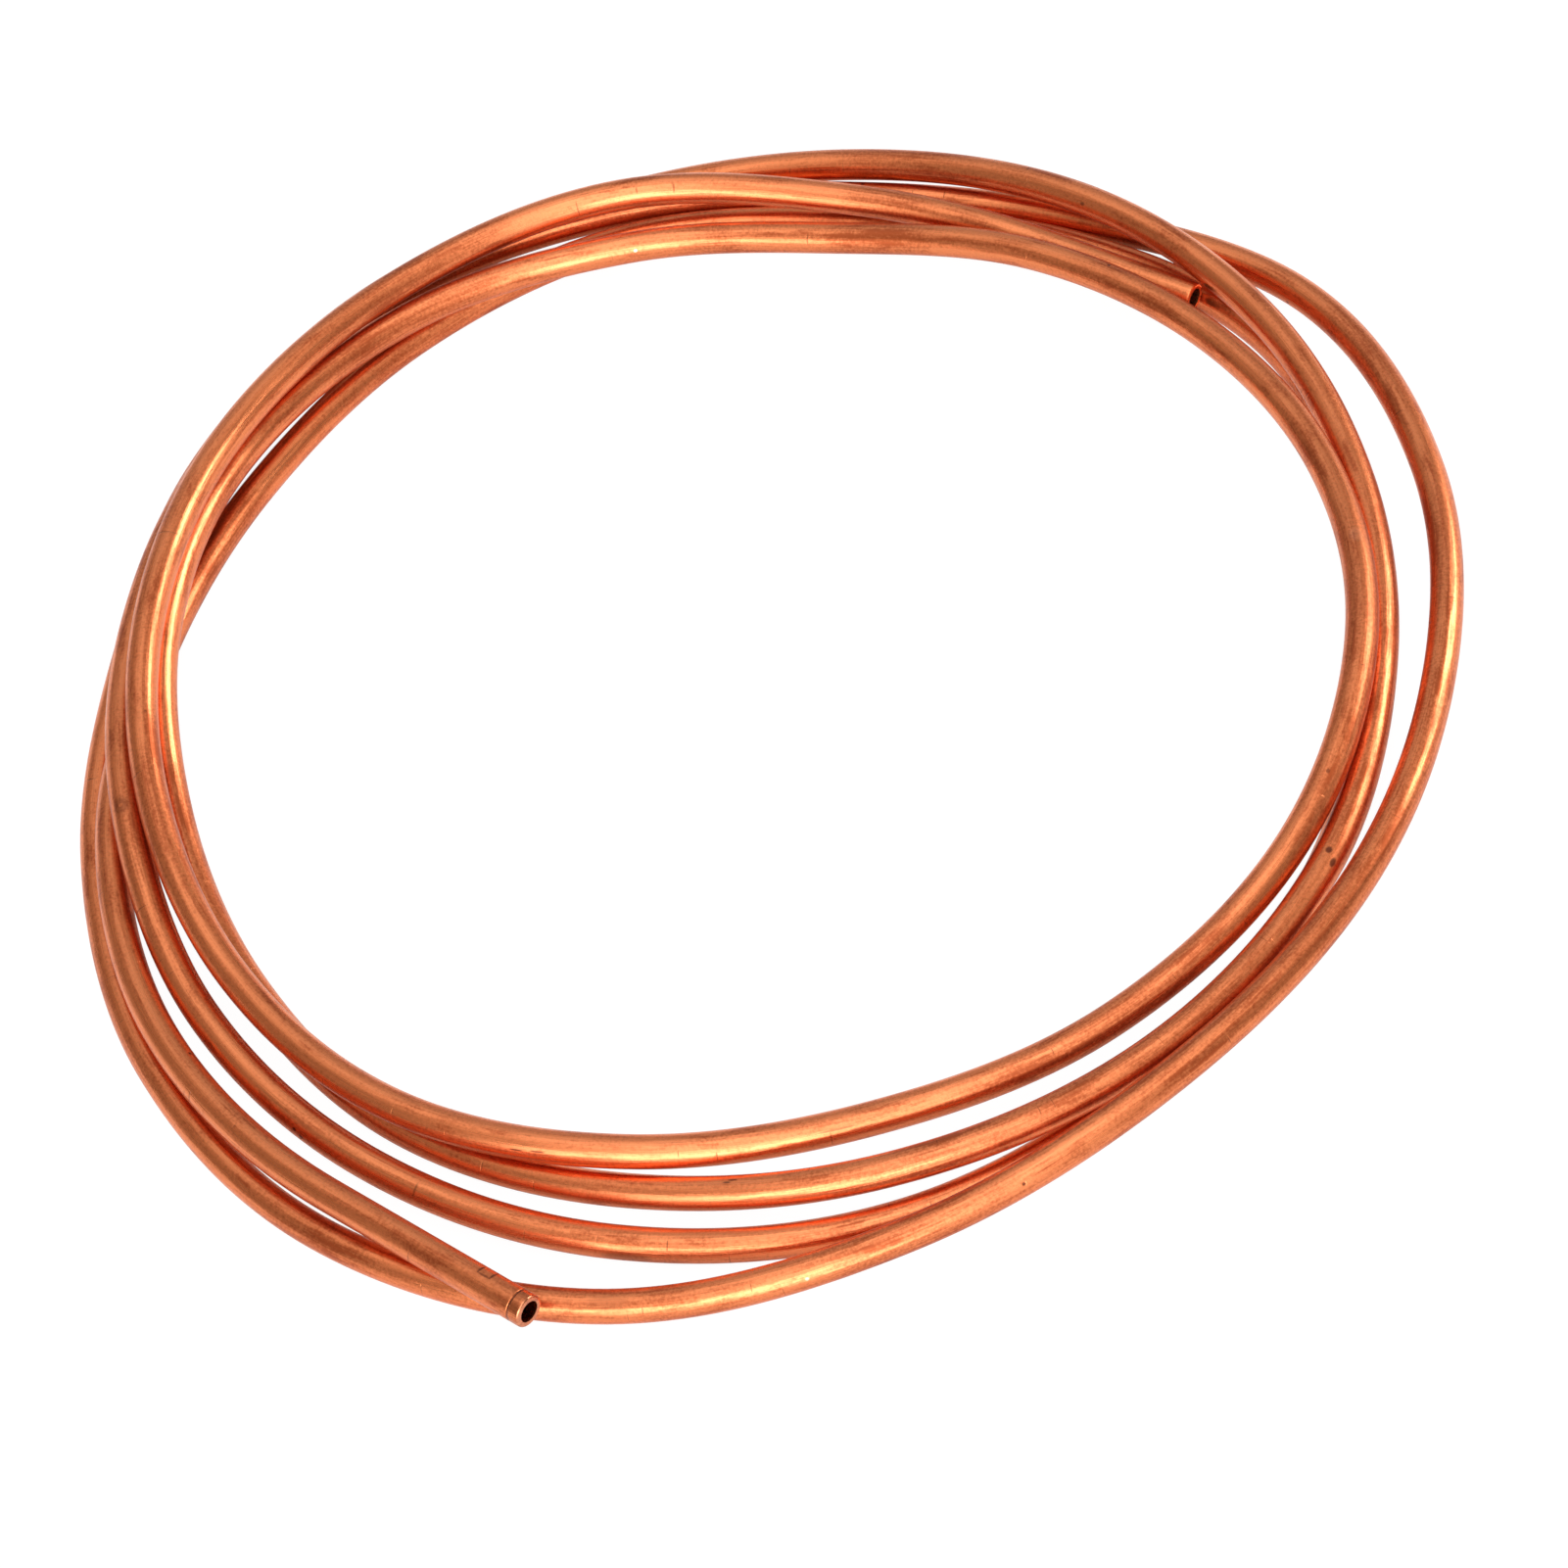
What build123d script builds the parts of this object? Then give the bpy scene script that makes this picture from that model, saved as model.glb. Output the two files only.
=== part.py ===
from build123d import *
from math import cos, pi, radians, sin, sqrt
import os

# A loose coil of bare soft copper tube: one drawn tube, cut at both ends with a wheel cutter
# and wound by hand into about four and a half turns that cross over each other.
# The coil lies flat on the floor. Bearings run anticlockwise seen from above, 0 on the right
# and 270 at the front, and everything is in millimetres.

# Sizes of the tube
TUBE_OD = 4.0
TUBE_WALL = 0.5
CUT_EDGE_RADIUS = 0.25
CUT_LIP_DEPTH = 0.7
CUT_LIP_INWARD = 0.18
CUT_LIP_ROUND = 0.08

# Sizes of the coil. The tucked end runs on straight until it is this many tube widths outside
# the lane that it left, which puts it between the turns there.
EYE_RADIUS = 67.4
TURN_CLEARANCE = 0.18
TUCKED_END_RISE = 0.6548
FREE_END_STRAIGHT = 29.5

# The winding, from the tucked end to the free end. Each row is one turn and each place in it one
# of sixteen compass points: how many tube widths the turn lies outside the innermost lane, and
# how many tube heights it lies above the floor.
FIRST_BEARING = 45.0
POINTS_PER_TURN = 16
LANES = [
    [0.55, 0.85, 1.95, 1.95, 1.45, 0.9, 0.7, 0.85, 1.1, 0.85, 0.4, 0.8, 1.35, 1.25, 0.75, 0.2],
    [-0.3, -0.5, 0.4, 1.35, 1.5, 0.75, 0.3, 0.45, 1.1, 1.6, 2.4, 2.65, 2.35, 1.7, 1.6, 1.95],
    [2.4, 2.9, 3.5, 3.8, 3.15, 2.35, 2.9, 4.0, 5.0, 5.15, 4.4, 3.7, 3.5, 3.35, 3.65, 3.8],
    [2.6, 2.05, 2.5, 2.9, 2.5, 1.75, 1.55, 2.1, 2.6, 3.1, 3.3, 2.65, 1.95, 1.4, 1.6, 2.05],
    [1.55, 1.0, 1.45, 1.45, 1.15, 1.25, 2.25, 3.4, 4.3],
]
LEVELS = [
    [0.95, 1.3, 1.7, 1.95, 2.4, 2.55, 2.1, 1.3, 1.1, 1.05, 0.65, 0.65, 1.35, 1.9, 1.65, 1.5],
    [1.45, 1.0, 0.95, 1.1, 1.25, 1.55, 0.65, 0.1, 0.0, 0.3, 0.95, 1.0, 0.95, 0.95, 1.05, 1.25],
    [1.25, 0.65, 0.05, 0.05, 0.1, 0.0, 0.0, 0.0, 0.05, 0.05, 0.7, 1.15, 1.15, 0.85, 0.55, 0.3],
    [0.0, 0.1, 0.45, 0.7, 0.9, 1.35, 1.6, 0.75, 0.25, 0.05, 0.0, 0.0, 0.0, 0.0, 0.0, 0.05],
    [0.0, 0.1, 0.25, 0.05, 0.0, 0.3, 0.8, 0.9, 1.05],
]

outer_radius = TUBE_OD / 2
bore_radius = outer_radius - TUBE_WALL
pitch = TUBE_OD + TURN_CLEARANCE


def station_points():
    """The tube's centre line, one point for each compass point of each turn."""
    lanes = [lane for turn in LANES for lane in turn]
    levels = [level for turn in LEVELS for level in turn]
    points = []
    for place, (lane, level) in enumerate(zip(lanes, levels)):
        bearing = radians(FIRST_BEARING + place * 360 / POINTS_PER_TURN)
        ring = EYE_RADIUS + outer_radius + lane * pitch
        points.append(Vector(ring * cos(bearing), ring * sin(bearing), outer_radius + level * pitch))
    return points


def directions(points):
    """The way the tube runs at each point, from the points on either side of it."""
    first = points[1] - points[0]
    last = points[-1] - points[-2]
    inner = [after - before for before, after in zip(points, points[2:])]
    # an end leans on from its neighbour, so that the curve there goes on as it was
    start = first * 2 - inner[0].normalized() * first.length
    finish = last * 2 - inner[-1].normalized() * last.length
    return [way.normalized() for way in [start] + inner + [finish]]


def arc_pair(start, start_way, end, end_way):
    """Two arcs that run smoothly from one point to the next."""
    span = end - start
    both = start_way + end_way
    bend = 2 * (1 - start_way.dot(end_way))
    along = span.dot(both)
    reach = (sqrt(along**2 + bend * span.dot(span)) - along) / bend
    corner = start + start_way * reach
    next_corner = end - end_way * reach
    middle = (corner + next_corner) / 2
    return [
        Edge.make_tangent_arc(start, start_way, middle),
        Edge.make_tangent_arc(middle, next_corner - corner, end),
    ]


def tucked_end_length():
    """How long the straight tucked end is, from its lane to its tip."""
    ring = EYE_RADIUS + outer_radius + LANES[0][0] * pitch
    return sqrt((ring + TUCKED_END_RISE * pitch) ** 2 - ring**2)


def centre_line():
    points = station_points()
    ways = directions(points)
    edges = [Edge.make_line(points[0] - ways[0] * tucked_end_length(), points[0])]
    for start, start_way, end, end_way in zip(points, ways, points[1:], ways[1:]):
        edges += arc_pair(start, start_way, end, end_way)
    edges.append(Edge.make_line(points[-1], points[-1] + ways[-1] * FREE_END_STRAIGHT))
    return Wire(edges)


def cut_end(face_plane):
    """The last of the tube, where the cutting wheel rounded the rim and rolled it inwards."""
    rim = CUT_LIP_DEPTH - CUT_EDGE_RADIUS
    lip_radius = bore_radius - CUT_LIP_INWARD
    with BuildPart() as end:
        with BuildSketch(Plane.XZ):
            with BuildLine():
                Line((bore_radius, 0), (outer_radius, 0))
                Line((outer_radius, 0), (outer_radius, rim))
                RadiusArc((outer_radius, rim), (outer_radius - CUT_EDGE_RADIUS, CUT_LIP_DEPTH), -CUT_EDGE_RADIUS)
                Line((outer_radius - CUT_EDGE_RADIUS, CUT_LIP_DEPTH), (lip_radius + CUT_LIP_ROUND, CUT_LIP_DEPTH))
                Line((lip_radius + CUT_LIP_ROUND, CUT_LIP_DEPTH), (lip_radius, CUT_LIP_DEPTH - CUT_LIP_ROUND))
                Line((lip_radius, CUT_LIP_DEPTH - CUT_LIP_ROUND), (bore_radius, 0))
            make_face()
        revolve(axis=Axis.Z)
    return face_plane * end.part


def tube():
    path = centre_line()
    first = Plane(origin=path @ 0, z_dir=path % 0)
    section = first * (Circle(outer_radius) - Circle(bore_radius))
    body = sweep(section, path=path)
    ends = [
        cut_end(Plane(origin=path @ 0, z_dir=-(path % 0))),
        cut_end(Plane(origin=path @ 1, z_dir=path % 1)),
    ]
    return path, body + ends


path, copper_tube = tube()
print("length", round(path.length, 1), "volume", round(copper_tube.volume, 1))
print("section x length", round(pi * (outer_radius**2 - bore_radius**2) * path.length, 1))

# The coil stands on the floor, centred over the origin
box = copper_tube.bounding_box()
to_floor = Pos(-box.center().X, -box.center().Y, -box.min.Z)
copper_tube = to_floor * copper_tube
copper_tube.label = "copper_tube"
path = to_floor * path
print("tucked end", path @ 0, "faces", -(path % 0))
print("free end", path @ 1, "faces", path % 1)

os.makedirs("parts", exist_ok=True)
export_step(copper_tube, "parts/copper_tube.step")
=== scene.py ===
"""Dresses the loose coil of bare copper tube: its drawn, satin skin, its cut ends and a plain studio."""

from math import atan2, cos, hypot, pi, radians, sin, sqrt

import bmesh
import bpy
from bpy.props import FloatProperty, FloatVectorProperty, IntProperty, PointerProperty
from mathutils import Matrix, Vector


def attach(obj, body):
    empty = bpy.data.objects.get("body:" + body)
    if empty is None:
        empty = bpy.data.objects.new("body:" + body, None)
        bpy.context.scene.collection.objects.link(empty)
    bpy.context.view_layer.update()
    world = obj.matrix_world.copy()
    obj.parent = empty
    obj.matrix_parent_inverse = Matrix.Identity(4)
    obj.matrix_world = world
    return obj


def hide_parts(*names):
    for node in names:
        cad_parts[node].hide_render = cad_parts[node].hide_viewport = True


bl_info = {
    "name": "Copper Tube Coil",
    "version": (1, 0, 0),
    "blender": (4, 5, 0),
    "location": "View3D > Sidebar > Copper Coil",
    "description": "Winds a loose coil of soft copper tube and lights it in a plain studio",
    "category": "Add Mesh",
}

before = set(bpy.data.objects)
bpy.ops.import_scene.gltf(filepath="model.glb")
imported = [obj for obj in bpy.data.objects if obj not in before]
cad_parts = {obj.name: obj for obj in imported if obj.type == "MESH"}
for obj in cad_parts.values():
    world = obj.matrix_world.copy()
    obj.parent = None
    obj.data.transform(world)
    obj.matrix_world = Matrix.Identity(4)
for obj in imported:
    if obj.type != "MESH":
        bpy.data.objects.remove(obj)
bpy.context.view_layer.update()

# The winding, from the tucked end to the free end. Each row is one turn and each place in it one
# of sixteen compass points: how many tube widths the turn lies outside the innermost lane, and
# how many tube heights it lies above the floor.
FIRST_BEARING = radians(45)
POINTS_PER_TURN = 16
LANES = [
    [0.55, 0.85, 1.95, 1.95, 1.45, 0.9, 0.7, 0.85, 1.1, 0.85, 0.4, 0.8, 1.35, 1.25, 0.75, 0.2],
    [-0.3, -0.5, 0.4, 1.35, 1.5, 0.75, 0.3, 0.45, 1.1, 1.6, 2.4, 2.65, 2.35, 1.7, 1.6, 1.95],
    [2.4, 2.9, 3.5, 3.8, 3.15, 2.35, 2.9, 4.0, 5.0, 5.15, 4.4, 3.7, 3.5, 3.35, 3.65, 3.8],
    [2.6, 2.05, 2.5, 2.9, 2.5, 1.75, 1.55, 2.1, 2.6, 3.1, 3.3, 2.65, 1.95, 1.4, 1.6, 2.05],
    [1.55, 1.0, 1.45, 1.45, 1.15, 1.25, 2.25, 3.4, 4.3],
]
LEVELS = [
    [0.95, 1.3, 1.7, 1.95, 2.4, 2.55, 2.1, 1.3, 1.1, 1.05, 0.65, 0.65, 1.35, 1.9, 1.65, 1.5],
    [1.45, 1.0, 0.95, 1.1, 1.25, 1.55, 0.65, 0.1, 0.0, 0.3, 0.95, 1.0, 0.95, 0.95, 1.05, 1.25],
    [1.25, 0.65, 0.05, 0.05, 0.1, 0.0, 0.0, 0.0, 0.05, 0.05, 0.7, 1.15, 1.15, 0.85, 0.55, 0.3],
    [0.0, 0.1, 0.45, 0.7, 0.9, 1.35, 1.6, 0.75, 0.25, 0.05, 0.0, 0.0, 0.0, 0.0, 0.0, 0.05],
    [0.0, 0.1, 0.25, 0.05, 0.0, 0.3, 0.8, 0.9, 1.05],
]


class CopperTubeSizes(bpy.types.PropertyGroup):
    """Sizes of the tube and of the coil it is wound into."""

    outside_diameter: FloatProperty(
        name="Outside Diameter",
        description="Width of the tube, a hair under 4 mm to stay inside the solid",
        default=0.00396,
        subtype="DISTANCE",
        unit="LENGTH",
    )
    wall: FloatProperty(
        name="Wall",
        description="Thickness of the tube's wall",
        default=0.0005,
        subtype="DISTANCE",
        unit="LENGTH",
    )
    eye_radius: FloatProperty(
        name="Eye Radius",
        description="Radius of the innermost lane",
        default=0.06742,
        subtype="DISTANCE",
        unit="LENGTH",
    )
    turn_clearance: FloatProperty(
        name="Turn Clearance",
        description="Room between two turns side by side",
        default=0.00022,
        unit="LENGTH",
    )
    tucked_rise: FloatProperty(
        name="Tucked Rise",
        description="Tube widths that the tucked end's tip lies outside its lane",
        default=0.6548,
    )
    free_straight: FloatProperty(
        name="Free Straight",
        description="Straight length at the free end",
        default=0.0295,
        unit="LENGTH",
    )
    lip_depth: FloatProperty(
        name="Lip Depth",
        description="Length of tube that the cutter rolled in",
        default=0.0007,
        unit="LENGTH",
    )
    lip_inward: FloatProperty(
        name="Lip Inward",
        description="How far the rim is rolled in",
        default=0.00018,
        unit="LENGTH",
    )
    edge_radius: FloatProperty(
        name="Edge Radius",
        description="Rounding of the rim's outer edge",
        default=0.00025,
        unit="LENGTH",
    )
    sides: IntProperty(name="Sides", description="Facets round the tube", default=32, min=8)
    rings: IntProperty(name="Rings", description="Facets along the tube", default=1340, min=100)


class CopperFinish(bpy.types.PropertyGroup):
    """Colours and polish of drawn copper."""

    bright: FloatVectorProperty(
        name="Bright",
        description="Freshly drawn copper",
        subtype="COLOR",
        default=(0.88, 0.272, 0.106),
    )
    dull: FloatVectorProperty(
        name="Dull",
        description="Handled copper, gone brown",
        subtype="COLOR",
        default=(0.44, 0.095, 0.03),
    )
    # Deep is the dirt in scores and nicks, and also the painted shade in the cutter's groove
    deep: FloatVectorProperty(
        name="Deep",
        description="Dirt in scores and nicks",
        subtype="COLOR",
        default=(0.13, 0.03, 0.015),
    )
    # Glint is a painted highlight: the pale colour painted on bright specks, nicks and the cut face
    # where they catch the light
    glint: FloatVectorProperty(
        name="Glint", description="Bare metal in a fresh nick", subtype="COLOR", default=(1.0, 0.8, 0.62)
    )
    roughness: FloatProperty(
        name="Roughness", description="Polish of the drawn skin", default=0.3, min=0, max=1
    )
    streak_depth: FloatProperty(
        name="Streak Depth",
        description="Depth of the lines that the die drew",
        default=0.00005,
        unit="LENGTH",
    )


class StudioSettings(bpy.types.PropertyGroup):
    """Camera, lamps and floor."""

    camera_distance: FloatProperty(
        name="Camera Distance",
        description="From the lens to the middle of the picture",
        default=0.704,
        unit="LENGTH",
    )
    camera_elevation: FloatProperty(
        name="Camera Elevation",
        description="Height of the view",
        default=radians(50),
        subtype="ANGLE",
        unit="ROTATION",
    )
    camera_roll: FloatProperty(
        name="Camera Roll",
        description="Tilt of the picture",
        default=radians(-16),
        subtype="ANGLE",
        unit="ROTATION",
    )
    look_at: FloatVectorProperty(
        name="Look At",
        description="Middle of the picture",
        subtype="XYZ",
        default=(-0.00107, -0.01459, 0.00008),
    )
    lens: FloatProperty(name="Lens", description="Focal length in millimetres", default=136.5)
    lamp_power: FloatProperty(
        name="Lamp Power", description="Strength of all the lamps", default=1.0, min=0
    )


def activate(piece):
    """Only this piece is selected and active, as the operators expect."""
    bpy.ops.object.select_all(action="DESELECT")
    piece.select_set(True)
    bpy.context.view_layer.objects.active = piece


def apply_modifiers(piece):
    activate(piece)
    for modifier in list(piece.modifiers):
        bpy.ops.object.modifier_apply(modifier=modifier.name)


def select_edges(piece, wanted):
    """Selects the edges, in edit mode, whose two ends both satisfy the test."""
    shell = bmesh.from_edit_mesh(piece.data)
    bpy.ops.mesh.select_all(action="DESELECT")
    for edge in shell.edges:
        if all(wanted(vertex.co) for vertex in edge.verts):
            edge.select_set(True)
    bmesh.update_edit_mesh(piece.data)


def select_faces(piece, wanted):
    """Selects the faces, in edit mode, whose corners all satisfy the test."""
    shell = bmesh.from_edit_mesh(piece.data)
    bpy.ops.mesh.select_all(action="DESELECT")
    for face in shell.faces:
        if all(wanted(vertex.co) for vertex in face.verts):
            face.select_set(True)
    bmesh.update_edit_mesh(piece.data)


# The route that the tube is wound along


def station_points(sizes):
    """The tube's centre line, one point for each compass point of each turn."""
    radius = sizes.outside_diameter / 2
    pitch = sizes.outside_diameter + sizes.turn_clearance
    lanes = [lane for turn in LANES for lane in turn]
    levels = [level for turn in LEVELS for level in turn]
    points = []
    for place, (lane, level) in enumerate(zip(lanes, levels)):
        bearing = FIRST_BEARING + place * 2 * pi / POINTS_PER_TURN
        ring = sizes.eye_radius + radius + lane * pitch
        points.append(Vector((ring * cos(bearing), ring * sin(bearing), radius + level * pitch)))
    return points


def directions(points):
    """The way the tube runs at each point, from the points on either side of it."""
    first = points[1] - points[0]
    last = points[-1] - points[-2]
    inner = [after - before for before, after in zip(points, points[2:])]
    start = first * 2 - inner[0].normalized() * first.length
    finish = last * 2 - inner[-1].normalized() * last.length
    return [way.normalized() for way in [start] + inner + [finish]]


def handle_length(start, start_way, end, end_way):
    """How long a curve handle is, so that the curve between two points bends like an arc."""
    turn = start_way.angle(end_way)
    return (end - start).length / (3 * cos(turn / 4) ** 2)


def winding_curve(sizes):
    """The centre line as a smooth curve, from the tucked end's rim to the free end's rim."""
    points = station_points(sizes)
    ways = directions(points)
    ring = hypot(points[0].x, points[0].y)
    pitch = sizes.outside_diameter + sizes.turn_clearance
    tucked = sqrt((ring + sizes.tucked_rise * pitch) ** 2 - ring**2) + sizes.lip_depth
    free = sizes.free_straight + sizes.lip_depth
    points = [points[0] - ways[0] * tucked] + points + [points[-1] + ways[-1] * free]
    ways = [ways[0]] + ways + [ways[-1]]
    bpy.ops.curve.primitive_bezier_curve_add(enter_editmode=False, location=(0, 0, 0))
    route = bpy.context.object
    route.name = "winding"
    curve = route.data
    curve.dimensions = "3D"
    curve.twist_mode = "MINIMUM"
    curve.resolution_u = 24
    spline = curve.splines[0]
    spline.bezier_points.add(len(points) - len(spline.bezier_points))
    for place, (point, way) in enumerate(zip(points, ways)):
        knot = spline.bezier_points[place]
        knot.handle_left_type = knot.handle_right_type = "FREE"
        knot.co = point
        before, after = tucked / 3, free / 3
        if place:
            before = handle_length(points[place - 1], ways[place - 1], point, way)
        if place + 1 < len(points):
            after = handle_length(point, way, points[place + 1], ways[place + 1])
        knot.handle_left = point - way * before
        knot.handle_right = point + way * after
    return route


def straight_tube(sizes, length):
    """A straight tube along X, as long as the winding, with its bore."""
    bpy.ops.object.select_all(action="DESELECT")
    bpy.ops.mesh.primitive_circle_add(
        vertices=sizes.sides,
        radius=sizes.outside_diameter / 2,
        fill_type="NOTHING",
        calc_uvs=False,
        rotation=(0, pi / 2, 0),
    )
    bpy.ops.object.transform_apply(location=True, rotation=True, scale=True)
    tube = bpy.context.object
    tube.name = "drawn_copper_tube"
    run = length - 2 * sizes.lip_depth
    tube.data.transform(Matrix.Translation((sizes.lip_depth, 0, 0)))
    draw = tube.modifiers.new("Draw", "SCREW")
    draw.axis = "X"
    draw.angle = 0
    draw.screw_offset = run
    draw.steps = draw.render_steps = sizes.rings
    draw.use_normal_flip = True
    wall = tube.modifiers.new("Wall", "SOLIDIFY")
    wall.thickness = sizes.wall
    wall.offset = -1
    wall.use_even_offset = True
    apply_modifiers(tube)
    return tube


def roll_lip(tube, sizes, rim_at, outward):
    """Lengthens one end by its lip, rolls the mouth in and rounds the rim, as a cutting wheel does."""
    radius = sizes.outside_diameter / 2
    bore = radius - sizes.wall
    middle = (radius + bore) / 2
    face_at = rim_at + outward * sizes.lip_depth
    near = 1e-6
    bpy.ops.object.mode_set(mode="EDIT")
    bpy.ops.mesh.select_mode(type="FACE")
    select_faces(tube, lambda at: abs(at.x - rim_at) < near)
    bpy.ops.mesh.extrude_region_move(TRANSFORM_OT_translate={"value": (outward * sizes.lip_depth, 0, 0)})
    bpy.ops.mesh.select_mode(type="EDGE")
    select_edges(tube, lambda at: abs(at.x - face_at) < near and hypot(at.y, at.z) < middle)
    inward = (bore - sizes.lip_inward) / bore
    bpy.ops.transform.resize(value=(1, inward, inward))
    select_edges(tube, lambda at: abs(at.x - face_at) < near and hypot(at.y, at.z) > middle)
    bpy.ops.mesh.bevel(offset=sizes.edge_radius, segments=4, affect="EDGES")
    mouth = middle - sizes.lip_inward / 2
    select_edges(tube, lambda at: abs(at.x - face_at) < near and hypot(at.y, at.z) < mouth)
    bpy.ops.mesh.bevel(offset=sizes.lip_inward / 3, segments=2, affect="EDGES")
    bpy.ops.object.mode_set(mode="OBJECT")


def lay_out_skin(tube):
    """A UV map of the straight tube: metres along it, and turns round it."""
    skin = tube.data.uv_layers.new(name="Along and Around")
    shape = tube.data
    for face in shape.polygons:
        corners = [shape.vertices[shape.loops[loop].vertex_index].co for loop in face.loop_indices]
        turns = [atan2(corner.z, corner.y) / (2 * pi) for corner in corners]
        crosses_seam = max(turns) - min(turns) > 0.5
        for loop, corner, turn in zip(face.loop_indices, corners, turns):
            skin.data[loop].uv = (corner.x, turn + 1 if crosses_seam and turn < 0 else turn)


class Link:
    """One output of a node. Python's own operators on it add the Math nodes."""

    def __init__(self, finish, socket):
        self.finish = finish
        self.socket = socket

    def math(self, operation, *others):
        sockets = dict(enumerate([self, *others]))
        return self.finish.node("ShaderNodeMath", {"operation": operation}, sockets)

    def __add__(self, other):
        return self.math("ADD", other)

    def __mul__(self, other):
        return self.math("MULTIPLY", other)

    def __sub__(self, other):
        return self.math("SUBTRACT", other)

    def __rsub__(self, other):
        return self.finish.node("ShaderNodeMath", {"operation": "SUBTRACT"}, {0: other, 1: self})

    __radd__ = __add__
    __rmul__ = __mul__

    def magnitude(self):
        return self.math("ABSOLUTE")

    def cosine(self):
        return self.math("COSINE")

    def sine(self):
        return self.math("SINE")

    def around(self, turn):
        """How far round the tube this is from a given turn, the short way."""
        return (self - turn).math("WRAP", 0.5, -0.5)

    def clear_of(self, low, high):
        """0 below low, 1 above high and smooth between."""
        ends = {"From Min": low, "From Max": high, "To Min": 0.0, "To Max": 1.0}
        smooth = {"interpolation_type": "SMOOTHSTEP"}
        return self.finish.node("ShaderNodeMapRange", smooth, {"Value": self, **ends})


class Finish:
    """A material, or the world, that is put together from nodes."""

    def __init__(self, owner):
        owner.use_nodes = True
        self.tree = owner.node_tree
        self.tree.nodes.clear()

    def node(self, kind, settings=None, inputs=None, output=0):
        """Adds one node: its settings first, then the values or links of its sockets."""
        node = self.tree.nodes.new(kind)
        for name, value in (settings or {}).items():
            setattr(node, name, value)
        for name, value in (inputs or {}).items():
            if isinstance(value, Link):
                self.tree.links.new(value.socket, node.inputs[name])
            else:
                node.inputs[name].default_value = value
        return Link(self, node.outputs[output]) if len(node.outputs) else None

    def noise(self, vector, scale, detail=2.0, roughness=0.5):
        sockets = {"Vector": vector, "Scale": scale, "Detail": detail, "Roughness": roughness}
        return self.node("ShaderNodeTexNoise", {}, sockets)

    def blend(self, share, first, second):
        """A mix of two colours."""
        sockets = {0: share, 6: first, 7: second}
        return self.node("ShaderNodeMix", {"data_type": "RGBA"}, sockets, output=2)

    def vector(self, x, y, z):
        return self.node("ShaderNodeCombineXYZ", {}, {0: x, 1: y, 2: z})


# Marks of handling that the photograph shows, and painted highlights: metres along the tube, turns round
# it, half the length in millimetres, half the width in turns, and how dark the mark is; a row below zero
# is a painted glint, and its value says how bright
MARKS = (
    (1.6762, 0.294, 1.4, 0.09, 0.45),
    (1.6762, 0.294, 0.25, 0.02, -0.5),
    (0.5371, 0.086, 0.3, 0.02, -0.5),
    (0.8364, 0.282, 0.5, 0.035, 0.8),
    (0.8352, 0.369, 0.7, 0.03, 0.8),
    (0.3805, 0.299, 0.35, 0.022, 0.6),
    (0.9545, 0.109, 0.35, 0.022, 0.6),
    (1.7286, 0.467, 0.35, 0.022, 0.8),
    (1.7275, 0.435, 0.3, 0.02, 0.8),
    (1.7450, 0.345, 0.16, 0.09, 0.5),
    (0.2718, 0.415, 0.9, 0.009, 0.8),
    (0.2743, 0.406, 0.9, 0.009, 0.8),
    (1.7710, 0.500, 3.4, 0.07, 0.5),
    (0.4151, 0.297, 1.3, 0.08, -0.15),
    (1.2552, 0.318, 2.8, 0.09, 0.3),
    (0.7530, 0.250, 0.5, 0.012, 0.7),
    (0.7536, 0.225, 0.6, 0.012, 0.7),
    (0.3079, 0.370, 2.4, 0.012, 0.5),
    (0.3108, 0.405, 2.0, 0.010, 0.5),
    (1.2776, 0.422, 0.25, 0.018, -0.5),
    (2.2527, 0.180, 0.2, 0.060, 0.7),
    (2.2545, 0.180, 0.2, 0.060, 0.7),
    (2.2536, 0.236, 1.0, 0.014, 0.6),
)


# How far from the free end's rim the cutting wheel burnished the tube, and how deep its face shows
BURNISHED = 0.0016
CUT_FACE = 0.0004


def handling_marks_and_painted_glints(along, turn):
    """The marks, as one map of how much darker the skin is, and of where glints are painted on it as
    highlights.
    """
    marks = 0.0
    for place, side, half_length, half_width, strength in MARKS:
        off_along = (along - place) * (1000 / half_length)
        off_round = turn.around(side) * (1 / half_width)
        spread = off_along * off_along + off_round * off_round
        marks = (1 - spread.clear_of(0.2, 1.5)) * strength + marks
    return marks


def opaque(colour):
    return (*colour, 1.0)


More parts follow.
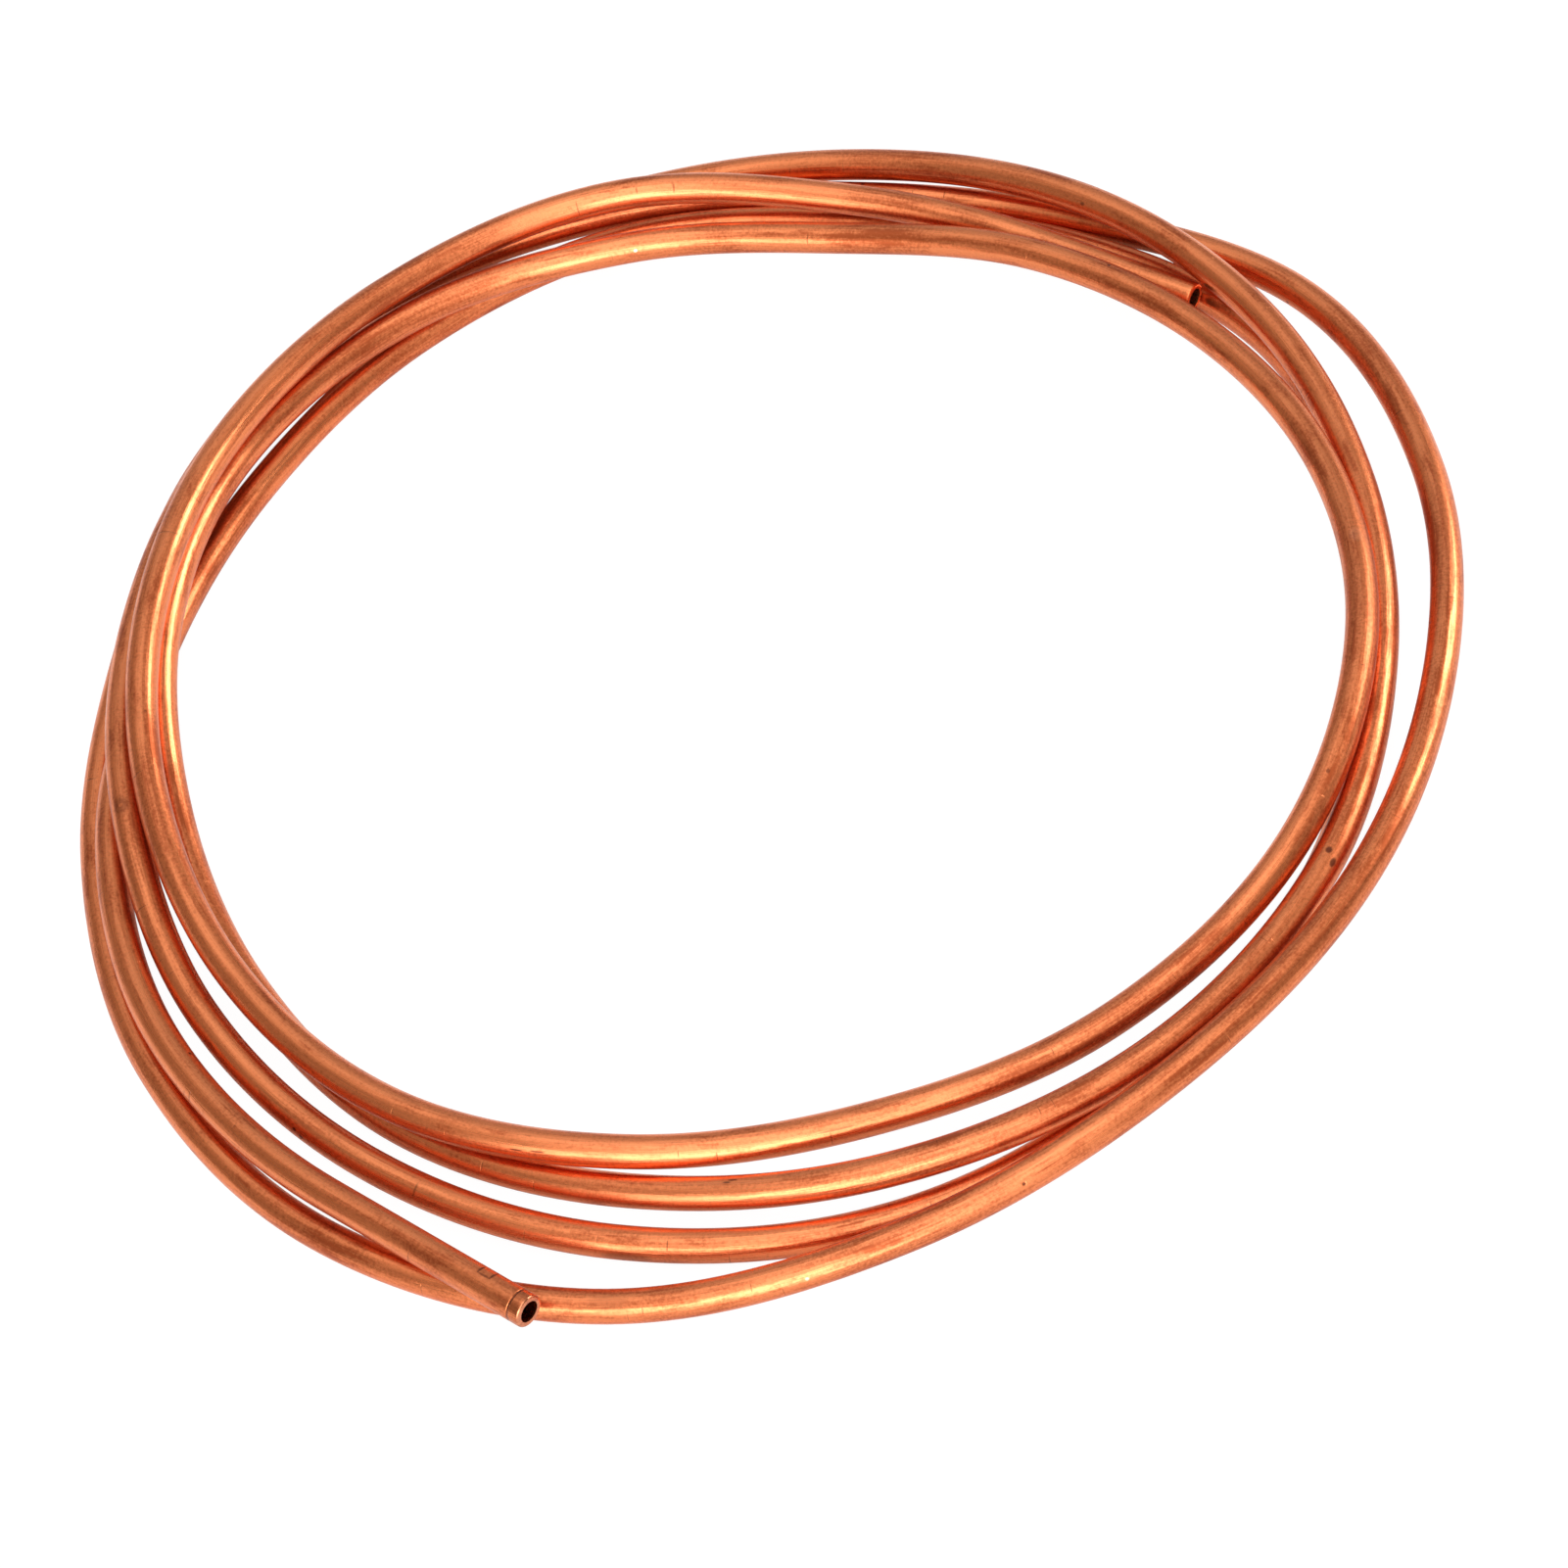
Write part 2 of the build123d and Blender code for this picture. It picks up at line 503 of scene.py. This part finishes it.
def drawn_copper(sizes, look, length):
    """Bare drawn copper: lines from the die, handling marks, brown patches, painted glints and a
    burnished cut end with painted shade in its groove.
    """
    material = bpy.data.materials.new("drawn copper")
    finish = Finish(material)
    skin = finish.node("ShaderNodeUVMap", {"uv_map": "Along and Around"})
    along = finish.node("ShaderNodeSeparateXYZ", {}, {0: skin}, output=0)
    turn = finish.node("ShaderNodeSeparateXYZ", {}, {0: skin}, output=1)
    place = finish.node("ShaderNodeTexCoord", output=3)
    radius = sizes.outside_diameter / 2
    across = (turn * (2 * pi)).cosine() * radius
    up = (turn * (2 * pi)).sine() * radius
    unwound = finish.vector(along, across, up)

    # lines that the die drew along the skin, in broad bands and in fine hairs
    bands = finish.noise(finish.vector(along * 28, across * 1000, up * 1000), 1.0, 3.0)
    hairs = finish.noise(finish.vector(along * 120, across * 3600, up * 3600), 1.0, 4.0, 0.62)
    # patches where the copper was handled and went brown, and a fine tooth all over
    patches = finish.noise(place, 38.0, 4.0, 0.55).clear_of(0.42, 0.66)
    specks = finish.noise(unwound, 2600.0, 3.0, 0.65)
    smears = finish.noise(finish.vector(along * 110, across * 520, up * 520), 1.0, 3.0, 0.6)
    smears = smears.clear_of(0.5, 0.72)

    # small pits, and short nicks across the tube
    pit_cell = finish.node("ShaderNodeTexVoronoi", {}, {"Vector": unwound, "Scale": 150.0})
    pits = 1 - pit_cell.clear_of(0.02, 0.05)
    cross = finish.noise(finish.vector(along * 2600, across * 240, up * 240), 1.0, 1.0)
    cross = cross.clear_of(0.74, 0.8)

    # the last of the tube, which the cutting wheel burnished; the band is painted darker, its groove
    # gets painted shade and the cut face a painted highlight
    from_end = length - along
    burnish = 1 - from_end.clear_of(BURNISHED - 0.0001, BURNISHED + 0.0001)
    rim = 1 - from_end.clear_of(CUT_FACE / 4, CUT_FACE)
    groove = 1 - (from_end - BURNISHED).magnitude().clear_of(0.00008, 0.0002)

    marks = handling_marks_and_painted_glints(along, turn)
    lines = (hairs - 0.5) * 1.3 + (bands - 0.5) * 0.8
    tone = (patches * 0.35 + smears * 0.5 + lines + (specks - 0.5) * 1.3 + 0.18).clear_of(0.0, 1.0)
    colour = finish.blend(tone, opaque(look.bright), opaque(look.dull))
    # dirt in pits, nicks and marks, painted shade in the cutter's groove, and the burnished band painted
    # darker
    dirt_and_painted_shade = (pits * 0.8 + cross * 0.5 + groove * 0.5 + burnish * 0.25 + marks).clear_of(0.0, 1.0)
    colour = finish.blend(dirt_and_painted_shade, colour, opaque(look.deep))
    # painted highlights: the glint colour on the cut face and on the marks below zero
    shine = (rim * 0.2 - marks).clear_of(0.0, 1.0)
    colour = finish.blend(shine, colour, opaque(look.glint))
    polish = patches * 0.06 + smears * 0.06 + (hairs - 0.5) * 0.5 - burnish * 0.1 + look.roughness

    height = bands * 1.2 + hairs * 0.6 + specks * 0.12 - pits * 0.8 - cross * 0.3 - groove * 1.2
    bump = {"Strength": 1.0, "Distance": look.streak_depth, "Height": height}
    relief = finish.node("ShaderNodeBump", {}, bump)
    copper = finish.node(
        "ShaderNodeBsdfPrincipled",
        {},
        {
            "Base Color": colour,
            "Metallic": 1.0,
            "Roughness": polish,
            "Coat Weight": 0.12,
            "Coat Roughness": 0.2,
            "Normal": relief,
        },
    )
    finish.node("ShaderNodeOutputMaterial", {}, {"Surface": copper})
    return material


class COPPER_OT_wind_tube(bpy.types.Operator):
    """Draws a straight copper tube, cuts its ends and winds it into the coil"""

    bl_idname = "copper_coil.wind_tube"
    bl_label = "Wind the Tube"

    def execute(self, context):
        sizes = context.scene.copper_tube_sizes
        route = winding_curve(sizes)
        length = route.data.splines[0].calc_length(resolution=64)
        tube = straight_tube(sizes, length)
        roll_lip(tube, sizes, sizes.lip_depth, -1)
        roll_lip(tube, sizes, length - sizes.lip_depth, 1)
        lay_out_skin(tube)
        wind = tube.modifiers.new("Wind", "CURVE")
        wind.object = route
        wind.deform_axis = "POS_X"
        apply_modifiers(tube)
        bpy.data.objects.remove(route)
        low, high = piece_box(tube)
        settle = Vector((-(low.x + high.x) / 2, -(low.y + high.y) / 2, -low.z))
        tube.data.transform(Matrix.Translation(settle))
        activate(tube)
        bpy.ops.object.shade_smooth_by_angle(angle=radians(45))
        tube.data.materials.append(drawn_copper(sizes, context.scene.copper_finish, length))
        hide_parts("copper_tube")
        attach(tube, "root")
        return {"FINISHED"}


def piece_box(piece):
    """Lowest and highest corner of a piece's own mesh."""
    places = [vertex.co for vertex in piece.data.vertices]
    low = Vector([min(place[axis] for place in places) for axis in range(3)])
    high = Vector([max(place[axis] for place in places) for axis in range(3)])
    return low, high


# Name, place, size and watts of each lamp
SOFT_BOXES = (
    ("front soft box", (-0.5, -1.05, 0.4), (1.0, 0.7), 8),
    ("right soft box", (1.1, 0.38, 0.5), (0.55, 0.45), 7),
)

# What the metal sees of the room: its sides, how much more the middle gives, and how much more than
# that its front does
SIDES_GLOW = 0.33
MIDDLE_GLOW = 0.2
FRONT_GLOW = 1.65
CLUTTER = 0.3
WARM_WALL = (1.0, 0.84, 0.7, 1)
WHITE = (1, 1, 1, 1)


def add_camera(studio):
    bpy.ops.object.camera_add()
    camera = bpy.context.object
    camera.name = "picture camera"
    camera.data.lens = studio.lens
    camera.data.sensor_width = 36
    camera.data.clip_start = 0.01
    pitch = Matrix.Rotation(pi / 2 - studio.camera_elevation, 4, "X")
    tilt = pitch @ Matrix.Rotation(studio.camera_roll, 4, "Z")
    away = tilt @ Vector((0, 0, studio.camera_distance))
    camera.matrix_world = Matrix.Translation(Vector(studio.look_at) + away) @ tilt
    bpy.context.scene.camera = camera


def add_lamp(name, place, size, power):
    """A rectangular soft box that looks at the coil."""
    bpy.ops.object.light_add(type="AREA", location=place)
    lamp = bpy.context.object
    lamp.name = name
    lamp.data.shape = "RECTANGLE"
    lamp.data.size, lamp.data.size_y = size
    lamp.data.energy = power
    lamp.rotation_euler = (-Vector(place)).to_track_quat("-Z", "Y").to_euler()


def floor_white():
    """A white floor that keeps a faint shadow, and that the metal sees as white too."""
    material = bpy.data.materials.new("white floor")
    finish = Finish(material)
    seen = finish.node("ShaderNodeLightPath", output=0)
    mirrored = finish.node("ShaderNodeLightPath", output=3)
    card = finish.node("ShaderNodeBsdfDiffuse", {}, {"Color": (0.85, 0.85, 0.85, 1)})
    glow = finish.node("ShaderNodeEmission", {}, {"Color": WHITE, "Strength": 1.07})
    share = seen * 0.9 + mirrored * 0.1
    floor = finish.node("ShaderNodeMixShader", {}, {0: share, 1: card, 2: glow})
    finish.node("ShaderNodeOutputMaterial", {}, {"Surface": floor})
    return material


def studio_air(world):
    """White behind the object, and for the metal a room bright in front and dim to the sides."""
    finish = Finish(world)
    seen = finish.node("ShaderNodeLightPath", output=0)
    way = finish.node("ShaderNodeTexCoord", output=0)
    across = finish.node("ShaderNodeSeparateXYZ", {}, {0: way}, output=0)
    deep = finish.node("ShaderNodeSeparateXYZ", {}, {0: way}, output=1)
    clutter = finish.noise(way, 2.4, 2.0) - 0.5
    middle = 1 - across.magnitude().clear_of(0.05, 0.7)
    front = 1 - deep.clear_of(-0.3, 0.9)
    room = SIDES_GLOW + middle * (MIDDLE_GLOW + front * FRONT_GLOW) + clutter * CLUTTER
    strength = seen + (1 - seen) * room
    whiteness = (seen + middle).clear_of(0.0, 1.0)
    colour = finish.blend(whiteness, WARM_WALL, WHITE)
    air = finish.node("ShaderNodeBackground", {}, {"Color": colour, "Strength": strength})
    finish.node("ShaderNodeOutputWorld", {}, {"Surface": air})


class COPPER_OT_set_studio(bpy.types.Operator):
    """Sets the camera, the white floor, the air and the soft boxes"""

    bl_idname = "copper_coil.set_studio"
    bl_label = "Set the Studio"

    def execute(self, context):
        studio = context.scene.copper_studio
        bpy.ops.object.select_all(action="DESELECT")
        add_camera(studio)
        bpy.ops.mesh.primitive_plane_add(size=6, location=(0, 0, -0.0002))
        floor = bpy.context.object
        floor.name = "floor"
        floor.data.materials.append(floor_white())
        world = bpy.data.worlds.new("studio air")
        context.scene.world = world
        studio_air(world)
        power = studio.lamp_power
        for name, place, size, watts in SOFT_BOXES:
            add_lamp(name, place, size, watts * power)
        context.scene.view_settings.view_transform = "Standard"
        return {"FINISHED"}


class COPPER_PT_coil(bpy.types.Panel):
    """Lists the coil's sizes, finish and studio"""

    bl_idname = "COPPER_PT_coil"
    bl_label = "Copper Coil"
    bl_space_type = "VIEW_3D"
    bl_region_type = "UI"
    bl_category = "Copper Coil"

    def draw(self, context):
        scene = context.scene
        for group in (scene.copper_tube_sizes, scene.copper_finish, scene.copper_studio):
            column = self.layout.column()
            for name in group.bl_rna.properties.keys():
                if name not in ("rna_type", "name"):
                    column.prop(group, name)
        self.layout.operator(COPPER_OT_set_studio.bl_idname)
        self.layout.operator(COPPER_OT_wind_tube.bl_idname)


CLASSES = (
    CopperTubeSizes,
    CopperFinish,
    StudioSettings,
    COPPER_OT_wind_tube,
    COPPER_OT_set_studio,
    COPPER_PT_coil,
)


def register():
    for each in CLASSES:
        bpy.utils.register_class(each)
    bpy.types.Scene.copper_tube_sizes = PointerProperty(type=CopperTubeSizes)
    bpy.types.Scene.copper_finish = PointerProperty(type=CopperFinish)
    bpy.types.Scene.copper_studio = PointerProperty(type=StudioSettings)


def unregister():
    del bpy.types.Scene.copper_tube_sizes
    del bpy.types.Scene.copper_finish
    del bpy.types.Scene.copper_studio
    for each in reversed(CLASSES):
        bpy.utils.unregister_class(each)


def main():
    register()
    bpy.ops.copper_coil.set_studio()
    bpy.ops.copper_coil.wind_tube()


if __name__ == "__main__":
    main()
